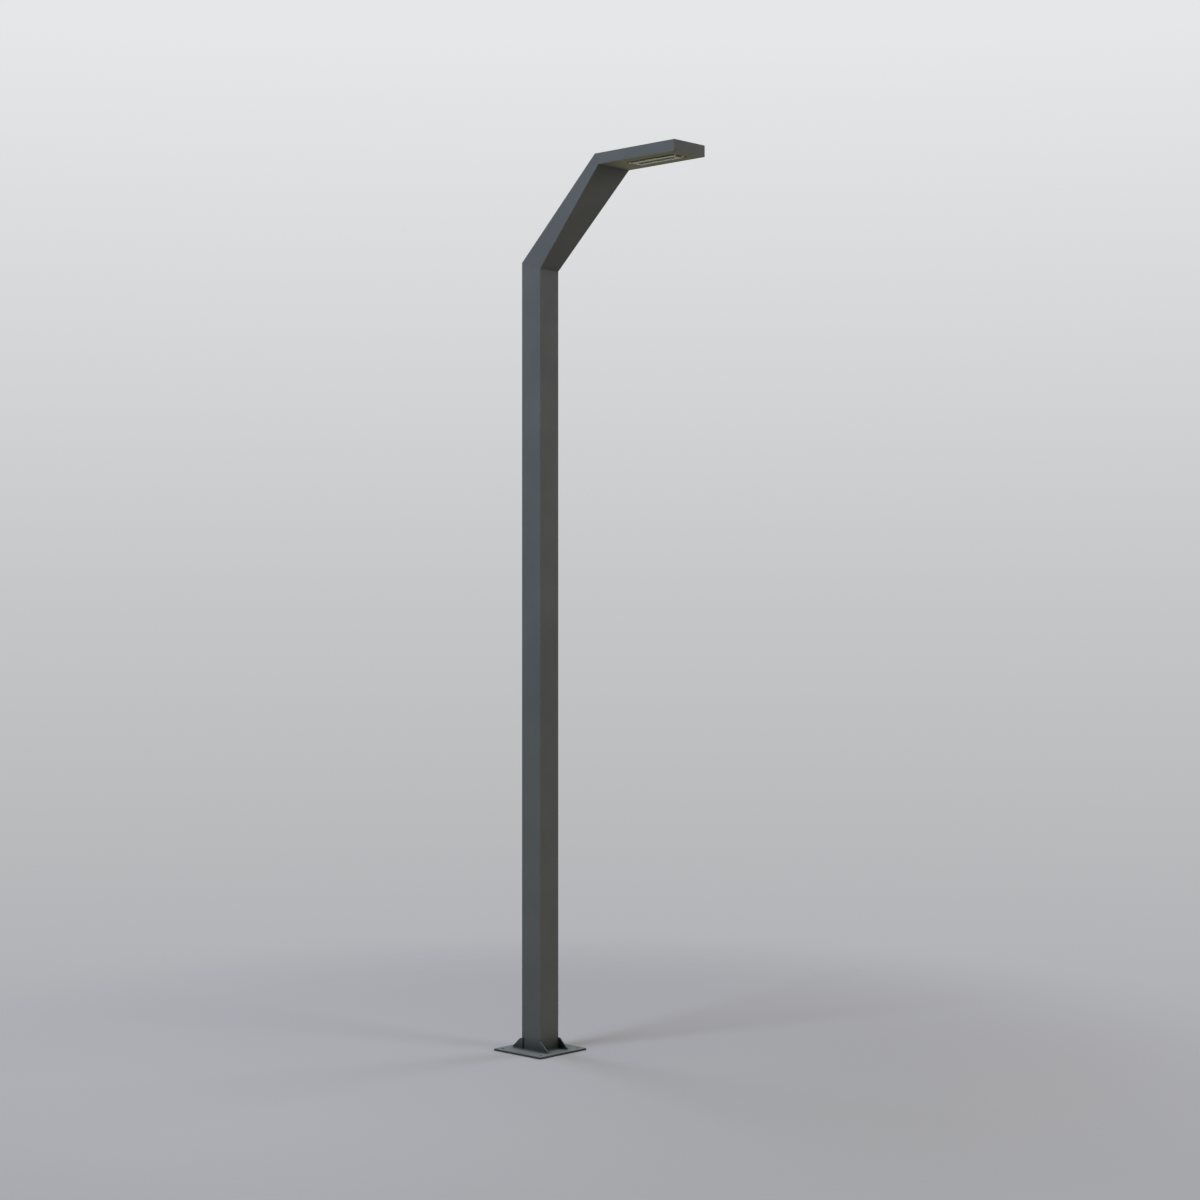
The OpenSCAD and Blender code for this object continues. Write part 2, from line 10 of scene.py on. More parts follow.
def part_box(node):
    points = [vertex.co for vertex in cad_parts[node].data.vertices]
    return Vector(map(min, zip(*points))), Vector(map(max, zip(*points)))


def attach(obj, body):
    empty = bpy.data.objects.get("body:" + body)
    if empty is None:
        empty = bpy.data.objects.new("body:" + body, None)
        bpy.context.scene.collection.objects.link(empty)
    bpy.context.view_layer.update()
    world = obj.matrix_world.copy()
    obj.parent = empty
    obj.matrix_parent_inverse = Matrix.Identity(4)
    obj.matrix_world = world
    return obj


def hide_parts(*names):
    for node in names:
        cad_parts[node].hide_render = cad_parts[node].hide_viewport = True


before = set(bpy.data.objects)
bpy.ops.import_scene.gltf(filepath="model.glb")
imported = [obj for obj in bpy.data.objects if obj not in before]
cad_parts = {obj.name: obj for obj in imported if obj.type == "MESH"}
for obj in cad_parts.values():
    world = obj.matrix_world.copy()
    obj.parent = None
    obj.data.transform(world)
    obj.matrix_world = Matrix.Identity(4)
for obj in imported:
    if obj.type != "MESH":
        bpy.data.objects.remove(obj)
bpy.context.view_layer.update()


# Base plate. A square of 8 mm steel, laser cut with four anchor holes and a round cable entry.
# Its edges are eased so that the powder coating holds on them, and the whole pole is coated in
# one go after welding, in a satin dark grey.
def block(name, low, high):
    """Adds a cube stretched between two corners of the pole's own frame."""
    bpy.ops.object.select_all(action="DESELECT")
    bpy.ops.mesh.primitive_cube_add(size=1, location=(low + high) / 2, scale=high - low)
    piece = bpy.context.object
    piece.name = name
    bpy.ops.object.transform_apply(location=True, rotation=True, scale=True)
    return piece


def edit(piece, kind):
    """Opens a piece in edit mode with nothing selected, to work on its edges, faces or points."""
    bpy.context.view_layer.objects.active = piece
    bpy.ops.object.mode_set(mode="EDIT")
    bpy.ops.mesh.select_mode(type=kind)
    bpy.ops.mesh.select_all(action="DESELECT")
    return bmesh.from_edit_mesh(piece.data)


def done():
    bpy.ops.object.mode_set(mode="OBJECT")


def round_edges(piece, radius, segments, wanted):
    """Rounds the sharp edges whose two ends pass a test."""
    sharp_angle = 0.3
    for edge in edit(piece, "EDGE").edges:
        sharp = edge.calc_face_angle(0) > sharp_angle
        edge.select_set(sharp and wanted(edge.verts[0].co, edge.verts[1].co))
    bpy.ops.mesh.bevel(offset=radius, segments=segments, affect="EDGES")
    done()


def runs(axis):
    """A test for edges that run along X, Y or Z, given as 0, 1 or 2."""
    nearly_along = 0.99
    return lambda start, end: abs((end - start).normalized()[axis]) > nearly_along


def apply(piece, modifier):
    bpy.context.view_layer.objects.active = piece
    bpy.ops.object.modifier_apply(modifier=modifier.name)


def cut_away(piece, cutter):
    """Cuts one shape out of a piece, and takes the cutter away."""
    cut = piece.modifiers.new("cut", "BOOLEAN")
    cut.object = cutter
    apply(piece, cut)
    bpy.data.objects.remove(cutter)


def drill(piece, at, diameter, depth, axis="Z"):
    """Drills a round hole centred on a point."""
    bpy.ops.object.select_all(action="DESELECT")
    turn = {"X": (0, math.pi / 2, 0), "Z": (0, 0, 0)}[axis]
    bpy.ops.mesh.primitive_cylinder_add(
        vertices=64, radius=diameter / 2, depth=depth, location=at, rotation=turn
    )
    cut_away(piece, bpy.context.object)


def tidy_mesh(piece):
    """Merges doubled points, and takes out faces with no area."""
    speck = 1.5e-5
    edit(piece, "VERT")
    bpy.ops.mesh.select_all(action="SELECT")
    bpy.ops.mesh.remove_doubles(threshold=speck)
    bpy.ops.mesh.dissolve_degenerate(threshold=speck)
    done()


def ease(piece, width, segments=3):
    """Eases the sharp edges, and shades the faces flat right up to them."""
    tidy_mesh(piece)
    softened = piece.modifiers.new("ease", "BEVEL")
    softened.width = width
    softened.segments = segments
    softened.limit_method = "ANGLE"
    softened.angle_limit = math.radians(40)
    apply(piece, softened)
    tidy_mesh(piece)
    shade(piece)


def shade(piece):
    bpy.ops.object.select_all(action="DESELECT")
    piece.select_set(True)
    bpy.context.view_layer.objects.active = piece
    bpy.ops.object.shade_smooth_by_angle(angle=math.radians(50))
    flat = piece.modifiers.new("flat", "WEIGHTED_NORMAL")
    flat.keep_sharp = True
    apply(piece, flat)


def new_material(name, colour, roughness, metallic=0.0):
    """A material of one plain finish, which the functions below give its patterns."""
    material = bpy.data.materials.new(name)
    material.use_nodes = True
    surface = material.node_tree.nodes["Principled BSDF"]
    surface.inputs["Base Color"].default_value = (*colour, 1)
    surface.inputs["Roughness"].default_value = roughness
    surface.inputs["Metallic"].default_value = metallic
    return material


def noise(material, scale, detail=2, stretch=(1, 1, 1)):
    """A noise pattern fixed to the object, with scale blotches to the metre."""
    tree = material.node_tree
    place = tree.nodes.new("ShaderNodeTexCoord")
    mapping = tree.nodes.new("ShaderNodeMapping")
    mapping.inputs["Scale"].default_value = stretch
    pattern = tree.nodes.new("ShaderNodeTexNoise")
    pattern.inputs["Scale"].default_value = scale
    pattern.inputs["Detail"].default_value = detail
    tree.links.new(place.outputs["Object"], mapping.inputs["Vector"])
    tree.links.new(mapping.outputs["Vector"], pattern.inputs["Vector"])
    return pattern.outputs["Fac"]


def tint(material, pattern, dark, light):
    """Lets a pattern shift the colour between two tones."""
    low, high = 0.35, 0.65
    tree = material.node_tree
    ramp = tree.nodes.new("ShaderNodeValToRGB")
    ramp.color_ramp.elements[0].position = low
    ramp.color_ramp.elements[0].color = (*dark, 1)
    ramp.color_ramp.elements[1].position = high
    ramp.color_ramp.elements[1].color = (*light, 1)
    tree.links.new(pattern, ramp.inputs["Fac"])
    surface = tree.nodes["Principled BSDF"]
    tree.links.new(ramp.outputs["Color"], surface.inputs["Base Color"])


def gloss(material, pattern, smooth, rough):
    """Lets a pattern shift the roughness between two values."""
    tree = material.node_tree
    spread = tree.nodes.new("ShaderNodeMapRange")
    spread.inputs["From Min"].default_value = 0.3
    spread.inputs["From Max"].default_value = 0.7
    spread.inputs["To Min"].default_value = smooth
    spread.inputs["To Max"].default_value = rough
    tree.links.new(pattern, spread.inputs["Value"])
    surface = tree.nodes["Principled BSDF"]
    tree.links.new(spread.outputs["Result"], surface.inputs["Roughness"])


def relief(material, pattern, height):
    """Raises the surface where the pattern is high, by a height in metres."""
    tree = material.node_tree
    bump = tree.nodes.new("ShaderNodeBump")
    bump.inputs["Distance"].default_value = height
    bump.inputs["Strength"].default_value = 1.0
    surface = tree.nodes["Principled BSDF"]
    earlier = surface.inputs["Normal"].links
    if earlier:
        tree.links.new(earlier[0].from_socket, bump.inputs["Normal"])
    tree.links.new(pattern, bump.inputs["Height"])
    tree.links.new(bump.outputs["Normal"], surface.inputs["Normal"])


def coat(piece, material):
    piece.data.materials.clear()
    piece.data.materials.append(material)


def painted_corner_shade(material, reach, tone, clear):
    """Darkens the colour in corners and along seams as painted shade, by how open the surface is.
    The tone is the share of the colour that is left deep in a corner, and a surface as open as
    clear says keeps its full colour."""
    tree = material.node_tree
    surface = tree.nodes["Principled BSDF"]
    corner = tree.nodes.new("ShaderNodeAmbientOcclusion")
    corner.samples = 12
    corner.inputs["Distance"].default_value = reach
    spread = tree.nodes.new("ShaderNodeMapRange")
    spread.inputs["From Min"].default_value = 0.4
    spread.inputs["From Max"].default_value = clear
    spread.inputs["To Min"].default_value = tone
    spread.inputs["To Max"].default_value = 1.0
    shade_of = tree.nodes.new("ShaderNodeVectorMath")
    shade_of.operation = "SCALE"
    tree.links.new(corner.outputs["AO"], spread.inputs["Value"])
    tree.links.new(surface.inputs["Base Color"].links[0].from_socket, shade_of.inputs[0])
    tree.links.new(spread.outputs["Result"], shade_of.inputs["Scale"])
    tree.links.new(shade_of.outputs["Vector"], surface.inputs["Base Color"])


def dust(material, colour, most):
    """A thin, patchy film of pale dust on what faces up, which covers this share of it at most."""
    thinnest = 0.75
    tree = material.node_tree
    surface = tree.nodes["Principled BSDF"]
    facing = tree.nodes.new("ShaderNodeNewGeometry")
    axes = tree.nodes.new("ShaderNodeSeparateXYZ")
    level = tree.nodes.new("ShaderNodeMapRange")
    level.inputs["From Min"].default_value = 0.75
    level.inputs["From Max"].default_value = 0.98
    patchy = tree.nodes.new("ShaderNodeMapRange")
    patchy.inputs["From Min"].default_value = 0.3
    patchy.inputs["From Max"].default_value = 0.7
    patchy.inputs["To Min"].default_value = most * thinnest
    patchy.inputs["To Max"].default_value = most
    amount = tree.nodes.new("ShaderNodeMath")
    amount.operation = "MULTIPLY"
    film = tree.nodes.new("ShaderNodeMix")
    film.data_type = "RGBA"
    film.inputs["B"].default_value = (*colour, 1)
    tree.links.new(facing.outputs["Normal"], axes.inputs["Vector"])
    tree.links.new(axes.outputs["Z"], level.inputs["Value"])
    tree.links.new(noise(material, scale=14, detail=5), patchy.inputs["Value"])
    tree.links.new(level.outputs["Result"], amount.inputs[0])
    tree.links.new(patchy.outputs["Result"], amount.inputs[1])
    tree.links.new(amount.outputs["Value"], film.inputs["Factor"])
    tree.links.new(surface.inputs["Base Color"].links[0].from_socket, film.inputs["A"])
    tree.links.new(film.outputs["Result"], surface.inputs["Base Color"])


def powder_coat(name, reach, tone, clear=0.95, dusty=0.2):
    """The pole's coating, with painted shade that reaches this far out of the corners."""
    dark, light = (0.086, 0.092, 0.098), (0.098, 0.104, 0.111)
    pale_dust = (0.212, 0.234, 0.212)
    material = new_material(name, light, roughness=0.62)
    surface = material.node_tree.nodes["Principled BSDF"]
    surface.inputs["Specular IOR Level"].default_value = 0.13
    tint(material, noise(material, scale=5, detail=4), dark=dark, light=light)
    gloss(material, noise(material, scale=22, detail=3), smooth=0.58, rough=0.70)
    relief(material, noise(material, scale=450), height=0.00012)
    relief(material, noise(material, scale=1500), height=0.00007)
    dust(material, pale_dust, dusty)
    # Painted shade: the colour darkens in corners and along seams.
    painted_corner_shade(material, reach, tone, clear)
    return material


plate_low, plate_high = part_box("base_plate")
plate_corner = 0.003
plate_edge = 0.0006
plate_middle = (plate_low + plate_high) / 2
entry_d = 0.080
anchor_d = 0.012
anchor_reach = 0.100
through = 0.03
foot_plate = block("foot_plate", plate_low, plate_high)
round_edges(foot_plate, plate_corner, segments=5, wanted=runs(2))
drill(foot_plate, plate_middle, entry_d, through)
for x in (-anchor_reach, anchor_reach):
    for y in (-anchor_reach, anchor_reach):
        drill(foot_plate, plate_middle + Vector((x, y, 0)), anchor_d, through)
ease(foot_plate, plate_edge)
# The plate's coat has painted shade within a short reach of the pole and the ribs.
coat(foot_plate, powder_coat("powder coat on the plate", reach=0.035, tone=0.15, dusty=0.35))
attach(foot_plate, "root")
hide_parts("base_plate")


# Pole. A welded square tube of 100 x 3 mm with rounded corners. Its top is sawn to the mitre of
# the lower bend, and the opening of the service door is cut in its back.
def bisect(piece, at, normal):
    """Saws a piece off on the side of a plane that the normal points to, and closes the cut."""
    edit(piece, "FACE")
    bpy.ops.mesh.select_all(action="SELECT")
    bpy.ops.mesh.bisect(plane_co=at, plane_no=normal, use_fill=True, clear_outer=True)
    done()


# The main coat, with painted shade that darkens it in corners and at joints.
paint = powder_coat("powder coat", reach=0.08, tone=0.15)

pole_low, pole_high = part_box("pole_tube")
pole_corner = 0.004
pole_wall = 0.003
steel_edge = 0.0004
past_end = 0.01
arm_low, arm_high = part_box("arm_shell")
bend_back = Vector((pole_low.x, 0, pole_high.z))
bend_front = Vector((pole_high.x, 0, arm_low.z))
bend_along = bend_front - bend_back
bend_normal = Vector((-bend_along.z, 0, bend_along.x)).normalized()

pole_profile = block("pole_profile", pole_low, pole_high)
round_edges(pole_profile, pole_corner, segments=8, wanted=runs(2))
bisect(pole_profile, bend_back, bend_normal)
bore_inset = Vector((pole_wall, pole_wall, -past_end))
bore = block("bore", pole_low + bore_inset, pole_high - bore_inset)
round_edges(bore, pole_corner - pole_wall, segments=4, wanted=runs(2))
cut_away(pole_profile, bore)

door_low, door_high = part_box("door_panel")
opening_corner = 0.010
door_gap = Vector((0, 0.002, 0.002))
beyond = Vector((0.002, 0, 0))
door_cutter = block("door_cutter", door_low - door_gap - beyond, door_high + door_gap + beyond)
round_edges(door_cutter, opening_corner, segments=10, wanted=runs(0))
cut_away(pole_profile, door_cutter)
ease(pole_profile, steel_edge)
coat(pole_profile, paint)
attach(pole_profile, "root")
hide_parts("pole_tube")


# Ribs. Four flat gussets of 5 mm steel, lapped on the pole's side faces and welded to the pole and
# the base plate. Each is cut off at a slope from a small flat at its top to a low toe.
def twin_of(piece, name, transform):
    """A copy with its own mesh, moved or mirrored, with its faces pointing outwards."""
    twin = piece.copy()
    twin.data = piece.data.copy()
    twin.name = name
    bpy.context.scene.collection.objects.link(twin)
    twin.data.transform(transform)
    if transform.determinant() < 0:
        twin.data.flip_normals()
    return twin


rib_low, rib_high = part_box("gusset_front_right")
rib_flat = 0.004
rib_toe = 0.005
slope_top = Vector((pole_high.x + rib_flat, 0, rib_high.z))
slope_foot = Vector((rib_high.x, 0, rib_low.z + rib_toe))
slope_along = slope_foot - slope_top
rib = block("rib_front_right", rib_low, rib_high)
bisect(rib, slope_top, (-slope_along.z, 0, slope_along.x))

to_rear = Matrix.Scale(-1, 4, (1, 0, 0))
to_left = Matrix.Scale(-1, 4, (0, 1, 0))
ribs = {
    "gusset_front_right": rib,
    "gusset_front_left": twin_of(rib, "rib_front_left", to_left),
    "gusset_rear_right": twin_of(rib, "rib_rear_right", to_rear),
    "gusset_rear_left": twin_of(rib, "rib_rear_left", to_rear @ to_left),
}
# The ribs' coat has painted shade that turns them nearly black close to the pole and the plate.
rib_paint = powder_coat("powder coat on the ribs", reach=0.08, tone=0.03)
for gusset, piece in ribs.items():
    ease(piece, steel_edge)
    coat(piece, rib_paint)
    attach(piece, "root")
    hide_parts(gusset)


# Foot welds. A hand-laid fillet runs round the pole's foot, and short ones hold each rib to the
# plate and the pole. The torch leaves fine ripples, which show through the coating.
def weld_bead(name, route, ways, leg, closed=False):
    """A fillet along a route of corner points, with the way that it faces on each stretch. It is
    rippled in crescents, rounds its corners, and tapers off at open ends."""
    step = 0.0005
    roundings = 16
    end_size = 0.25
    ripple = 0.0022
    ripple_depth = 0.05
    flat_from = 0.72
    flatness = 0.3
    sweep = 0.4
    stops = [Vector(stop) for stop in route]
    if closed:
        stops.append(stops[0])
    points, faces_out = [], []
    for start, end, way in zip(stops, stops[1:], ways):
        count = max(1, round((end - start).length / step))
        points += [start.lerp(end, i / count) for i in range(count)]
        faces_out += [Vector(way).normalized()] * count
    if not closed:
        points.append(stops[-1])
        faces_out.append(faces_out[-1])
    last = len(points) - 1

    def smoothed(values):
        before, after = [values[-1]] + values[:-1], values[1:] + [values[0]]
        if not closed:
            before[0], after[-1] = values[0], values[-1]
        return [(a + b + c) / 3 for a, b, c in zip(before, values, after)]

    for _ in range(roundings):
        points, faces_out = smoothed(points), smoothed(faces_out)
    bpy.ops.object.select_all(action="DESELECT")
    bpy.ops.curve.primitive_nurbs_path_add()
    bead = bpy.context.object
    bead.name = name
    bead.data.bevel_depth = leg
    bead.data.bevel_resolution = 3
    bead.data.use_fill_caps = False
    spline = bead.data.splines[0]
    spline.type = "POLY"
    spline.points.add(len(points) - len(spline.points))
    spline.use_cyclic_u = closed
    for i, point in enumerate(points):
        swell = 1 + ripple_depth * abs(math.sin(math.pi * i * step / ripple))
        from_end = min(i, last - i) * step / leg
        taper = 1 if closed else math.sqrt(min(1, end_size + from_end))
        spline.points[i].co = (*point, 1)
        spline.points[i].radius = swell * taper
    bpy.ops.object.convert(target="MESH")
    bead = bpy.context.object
    ring = len(bead.data.vertices) // len(points)
    for i, vertex in enumerate(bead.data.vertices):
        k = i // ring
        out = faces_out[k].normalized()
        along = (points[(k + 1) % len(points)] - points[k - 1]).normalized()
        proud = (vertex.co - points[k]).dot(out) / leg
        if proud > flat_from:
            vertex.co -= out * (proud - flat_from) * (1 - flatness) * leg
        if 0 < k < last:
            vertex.co += along * sweep * leg * max(0, proud) ** 2
    edit(bead, "VERT")
    bpy.ops.mesh.select_all(action="SELECT")
    bpy.ops.mesh.fill_holes(sides=0)
    bpy.ops.mesh.normals_make_consistent(inside=False)
    done()
    tidy_mesh(bead)
    bpy.ops.object.shade_smooth()
    return bead


def joined(name, pieces):
    """Makes one piece out of several."""
    bpy.ops.object.select_all(action="DESELECT")
    for piece in pieces:
        piece.select_set(True)
    bpy.context.view_layer.objects.active = pieces[0]
    bpy.ops.object.join()
    pieces[0].name = name
    return pieces[0]


foot_leg = 0.0048
foot_z = plate_high.z
corner_parts = 3
foot_route = []
for across, along in ((1, 1), (-1, 1), (-1, -1), (1, -1)):
    turn = math.atan2(along, across)
    middle = Vector((across, along, 0)) * (pole_high.x - pole_corner) + Vector((0, 0, foot_z))
    for part in range(-corner_parts, corner_parts + 1):
        angle = turn + part * math.pi / (4 * corner_parts)
        foot_route.append(middle + Vector((math.cos(angle), math.sin(angle), 0)) * pole_corner)
foot_ways = []
for start, end in zip(foot_route, foot_route[1:] + foot_route[:1]):
    along = end - start
    foot_ways.append(Vector((along.y, -along.x, 0)).normalized() + Vector((0, 0, 1)))
foot_weld = weld_bead("foot_weld", foot_route, foot_ways, foot_leg, closed=True)

rib_leg = 0.0036
stop_short = 0.003
rib_end = rib_high.x - stop_short
rib_stop = rib_high.z - stop_short
lap_weld = weld_bead(
    "lap_weld",
    [
        (rib_low.x, rib_high.y, foot_z), (rib_low.x, rib_high.y, rib_high.z),
        (pole_high.x - pole_corner, rib_high.y, rib_high.z),
    ],
    [(-1, -1, 0), (0, -1, 1)],
    rib_leg,
)
outer_weld = weld_bead(
    "outer_weld", [(rib_low.x, rib_low.y, foot_z), (rib_end, rib_low.y, foot_z)], [(0, -1, 1)],
    rib_leg,
)
inner_weld = weld_bead(
    "inner_weld",
    [
        (rib_end, rib_high.y, foot_z), (pole_high.x, rib_high.y, foot_z),
        (pole_high.x, rib_high.y, rib_stop),
    ],
    [(0, 1, 1), (1, 1, 0)],
    rib_leg,
)
rib_weld = joined("rib_weld", [lap_weld, outer_weld, inner_weld])
rib_welds = joined(
    "rib_welds",
    [
        rib_weld,
        twin_of(rib_weld, "rib_weld_2", to_left),
        twin_of(rib_weld, "rib_weld_3", to_rear),
        twin_of(rib_weld, "rib_weld_4", to_rear @ to_left),
    ],
)
# The welds' coat has painted shade at full depth in the corners, and is darker all over as well.
weld_paint = powder_coat("powder coat on the welds", reach=0.08, tone=0.03, clear=1.5)
for bead in (foot_weld, rib_welds):
    coat(bead, weld_paint)
    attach(bead, "root")


# Service door. A plate of the tube's own thickness, cut to leave an even gap in the opening, and
# held flush by two stainless button-head screws in lugs behind it.
door_corner = 0.008
door_edge = 0.0007
door_screw_d = 0.0105
door_hole_d = 0.0066
door_hole_depth = 0.02
door_screw_inset = 0.014
door_screw_spots = [
    Vector((door_low.x, 0, door_low.z + door_screw_inset)),
    Vector((door_low.x, 0, door_high.z - door_screw_inset)),
]
service_door = block("service_door", door_low, door_high)
round_edges(service_door, door_corner, segments=10, wanted=runs(0))
for spot in door_screw_spots:
    drill(service_door, spot, door_hole_d, door_hole_depth, "X")
ease(service_door, door_edge)
coat(service_door, paint)
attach(service_door, "root")
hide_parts("door_panel")


def in_order(piece):
    """Lists the points, edges and faces by their place, because a big cut leaves their order to
    chance."""
    mesh = edit(piece, "VERT")
    across = Vector((1, math.sqrt(2), math.sqrt(3)))
    mesh.verts.sort(key=lambda point: point.co.dot(across))
    mesh.edges.sort(key=lambda line: (line.verts[0].co + line.verts[1].co).dot(across))
    mesh.faces.sort(key=lambda face: face.calc_center_median().dot(across))
    bmesh.update_edit_mesh(piece.data)
    done()


def button_screw(name, shank_d, head_d, head_h, length):
    """A button-head screw with a hexagon socket, head up, with its bearing face at the origin."""
    crown_r = (head_d**2 / 4 + head_h**2) / (2 * head_h)
    socket_r = shank_d * 0.33
    socket_depth = head_h * 1.3
    head_edge = shank_d * 0.02
    shank_edge = 0.0003
    thread_play = 0.00005
    bpy.ops.object.select_all(action="DESELECT")
    bpy.ops.mesh.primitive_uv_sphere_add(
        segments=48, ring_count=64, radius=crown_r, location=(0, 0, head_h - crown_r)
    )
    head = bpy.context.object
    bpy.ops.object.transform_apply(location=True, rotation=True, scale=True)
    bisect(head, (0, 0, 0), (0, 0, -1))
    bpy.ops.object.select_all(action="DESELECT")
    bpy.ops.mesh.primitive_cylinder_add(
        vertices=6, radius=socket_r, depth=socket_depth, location=(0, 0, head_h)
    )
    cut_away(head, bpy.context.object)
    in_order(head)
    ease(head, head_edge, segments=2)
    bpy.ops.object.select_all(action="DESELECT")
    bpy.ops.mesh.primitive_cylinder_add(
        vertices=24, radius=shank_d / 2 - thread_play, depth=length,
        location=(0, 0, -length / 2),
    )
    shank = bpy.context.object
    bpy.ops.object.transform_apply(location=True, rotation=True, scale=True)
    ease(shank, shank_edge, segments=2)
    return joined(name, [head, shank])


def screws_at(name, screw, spots, out):
    """Copies of a screw at several spots, heads pointing out, as one piece."""
    turned = Vector((0, 0, 1)).rotation_difference(Vector(out)).to_matrix().to_4x4()
    copies = [
        twin_of(screw, f"{name}_{i}", Matrix.Translation(spot) @ turned)
        for i, spot in enumerate(spots)
    ]
    bpy.data.objects.remove(screw)
    return joined(name, copies)


stainless = new_material("stainless steel", (0.56, 0.56, 0.55), roughness=0.34, metallic=1.0)
tint(
    stainless, noise(stainless, scale=180, detail=3),
    dark=(0.50, 0.50, 0.49), light=(0.60, 0.60, 0.59),
)
gloss(stainless, noise(stainless, scale=400), smooth=0.28, rough=0.44)
relief(stainless, noise(stainless, scale=1800, detail=1), height=0.00001)

door_screw = button_screw(
    "door_screw", shank_d=0.006, head_d=door_screw_d, head_h=0.003, length=0.009
)
door_screw_pair = screws_at("door_screw_pair", door_screw, door_screw_spots, (-1, 0, 0))
coat(door_screw_pair, stainless)
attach(door_screw_pair, "root")
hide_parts("door_screws")


# Arm. A tapering box folded and welded from 3 mm sheet. It leans forward from the pole's mitre and
# widens to the head's mitre, so its sides are warped very slightly, as bent sheet is.
head_low, head_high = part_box("head_channel")
arm_top_corner = 0.003
arm_bottom_corner = 0.0025
sheet_t = 0.003
arm_steps = 15
arm_corners = {}
for side in (-1, 1):
    arm_corners[(0, side, 0)] = Vector((pole_high.x, side * pole_high.y, arm_low.z))
    arm_corners[(0, side, 1)] = Vector((pole_low.x, side * pole_high.y, pole_high.z))
    arm_corners[(1, side, 0)] = Vector((arm_high.x, side * head_high.y, head_low.z))
    arm_corners[(1, side, 1)] = Vector((head_low.x, side * head_high.y, head_high.z))


def arm_form(name, inset, over):
    """The arm's outline, drawn in from its faces, and run on past its ends by a share of it."""
    inner = {}
    for (end, side, top), corner in arm_corners.items():
        up = (arm_corners[(end, side, 1)] - arm_corners[(end, side, 0)]).normalized()
        along = arm_corners[(1, side, top)] - arm_corners[(0, side, top)]
        along = Vector((along.x, 0, along.z)).normalized()
        rise = up * (1 - 2 * top) * inset / up.cross(along).length
        inner[(end, side, top)] = corner + rise - Vector((0, side * inset, 0))
    form = block(name, Vector((0, -1, 0)), Vector((1, 1, 1)))
    for edge in edit(form, "EDGE").edges:
        edge.select_set(runs(0)(edge.verts[0].co, edge.verts[1].co))
    bpy.ops.mesh.subdivide(number_cuts=arm_steps)
    done()
    for point in form.data.vertices:
        side, top = round(point.co.y), round(point.co.z)
        start, end = inner[(0, side, top)], inner[(1, side, top)]
        point.co = start + (end - start) * (point.co.x * (1 + 2 * over) - over)
    return form


touching = 1e-5


def on_arm_edge(point, side, top):
    """Whether a point lies on one of the arm's four long edges."""
    start, end = arm_corners[(0, side, top)], arm_corners[(1, side, top)]
    return (point - start).cross((end - start).normalized()).length < touching


def is_long(top):
    """A test for the arm's long edges, at its bottom or its top."""
    return lambda a, b: any(
        on_arm_edge(a, side, top) and on_arm_edge(b, side, top) for side in (-1, 1)
    )


arm_box = arm_form("arm_box", inset=0, over=0)
round_edges(arm_box, arm_top_corner, segments=6, wanted=is_long(1))
round_edges(arm_box, arm_bottom_corner, segments=6, wanted=is_long(0))
cut_away(arm_box, arm_form("arm_hollow", inset=sheet_t, over=0.05))
ease(arm_box, steel_edge)
coat(arm_box, paint)
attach(arm_box, "root")
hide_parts("arm_shell")


# Head. A folded channel makes its top and sides, a flat plate is let in between the sides as its
# underside, and another closes the tip. All are 3 mm sheet, welded and ground flush.
head_fold = 0.003
floor_low, floor_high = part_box("head_floor")
tip_low, tip_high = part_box("end_plate")
mitre_top = Vector((head_low.x, 0, head_high.z))
mitre_foot = Vector((arm_high.x, 0, head_low.z))
mitre_down = mitre_foot - mitre_top
mitre_normal = Vector((mitre_down.z, 0, -mitre_down.x)).normalized()

head_top = block("head_top", head_low, head_high)
bisect(head_top, mitre_top, mitre_normal)
round_edges(
    head_top, head_fold, segments=6,
    wanted=lambda a, b: runs(0)(a, b) and min(a.z, b.z) > head_high.z - touching,
)
run_out = 0.05
hollow = block(
    "hollow",
    head_low + Vector((-run_out, sheet_t, -run_out)),
    head_high + Vector((run_out, -sheet_t, -sheet_t)),
)
cut_away(head_top, hollow)
ease(head_top, steel_edge)

cutout_low, cutout_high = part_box("module_seal")
cutout_corner = 0.005
head_floor = block("head_underside", floor_low, floor_high)
bisect(head_floor, mitre_top, mitre_normal)
cutter_over = Vector((0, 0, past_end))
cutter = block("cutter", cutout_low - cutter_over, cutout_high + cutter_over)
round_edges(cutter, cutout_corner, segments=8, wanted=runs(2))
cut_away(head_floor, cutter)
ease(head_floor, steel_edge)

tip_corner = 0.0024
head_tip = block("head_tip", tip_low, tip_high)


def outer_edge(a, b):
    """A test for the edges of the tip's outer face, without its lower one."""
    return min(a.x, b.x) > tip_high.x - touching and (a + b).z / 2 > tip_low.z + touching


round_edges(head_tip, tip_corner, segments=6, wanted=outer_edge)
ease(head_tip, steel_edge)
sheets = {"head_channel": head_top, "head_floor": head_floor, "end_plate": head_tip}
for node, piece in sheets.items():
    coat(piece, paint)
    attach(piece, "root")
    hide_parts(node)


# Module plate. A steel plate, coated matt black, that carries the lamp's parts and closes the
# cut-out. The black coat is the plate's finish and also painted shade, which gives the dark
# outline round the raised window frame. Four stainless screws hold it up, and a black rubber
# profile fills the gap round it.
module_low, module_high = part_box("module_plate")
module_middle = (module_low + module_high) / 2
window_low, window_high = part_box("lens_pane")
module_corner = 0.002
pane_play = Vector((0.001, 0.001, 0.02))
module_hole_d = 0.0044
module_screw_inset = 0.0045
module_screw_x = (module_high.x - module_low.x) / 2 - module_screw_inset
module_screw_y = 0.021
module_screw_spots = [
    Vector((module_middle.x + x, y, module_low.z))
    for x in (-module_screw_x, module_screw_x) for y in (-module_screw_y, module_screw_y)
]
module_cover = block("module_cover", module_low, module_high)
round_edges(module_cover, module_corner, segments=5, wanted=runs(2))
for spot in module_screw_spots:
    drill(module_cover, spot, module_hole_d, through)
